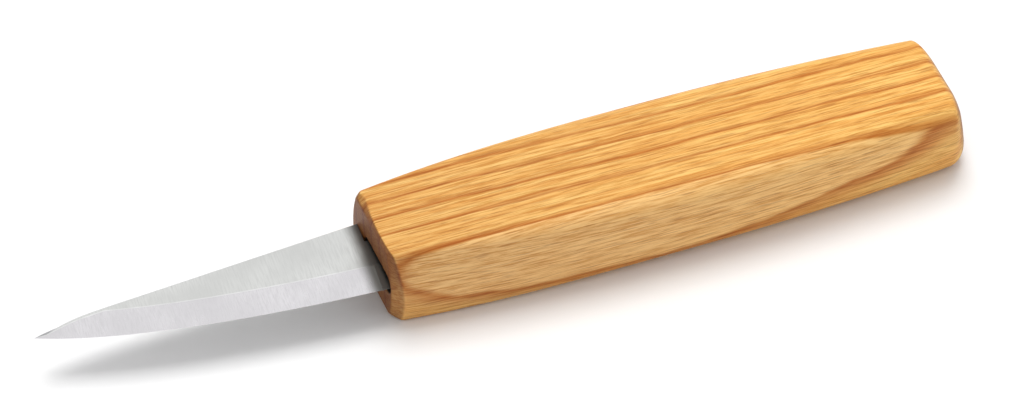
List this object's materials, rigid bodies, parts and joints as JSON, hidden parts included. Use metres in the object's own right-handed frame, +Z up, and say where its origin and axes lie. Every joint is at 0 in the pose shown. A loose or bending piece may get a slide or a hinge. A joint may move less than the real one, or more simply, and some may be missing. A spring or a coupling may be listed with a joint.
{
  "type": "whittling knife",
  "caption": "Fixed-blade whittling knife: flat-ground steel blade with a stick tang glued into a slotted, barrel-shaped ash handle",
  "frame": {"origin": "bottom centre of the knife's box, on the surface it lies on", "axes": "+X runs along the knife from the tip to the butt, +Y from the cutting edge to the spine, +Z up from the flat side that the knife lies on; the blade's mid-plane is level at half the handle's thickness"},
  "size_m": [0.179, 0.0272, 0.0172],
  "materials": {
    "blade_steel": "satin ground, fine scratches across the flats, smoother bevel",
    "ash_wood": "sanded and oiled ash, open pores, straight grain along the handle",
    "epoxy": "cured clear epoxy, amber"
  },
  "bodies": {
    "root": {"blade": "blade_steel", "handle": "ash_wood", "tang_adhesive": "epoxy"}
  },
  "joints": []
}
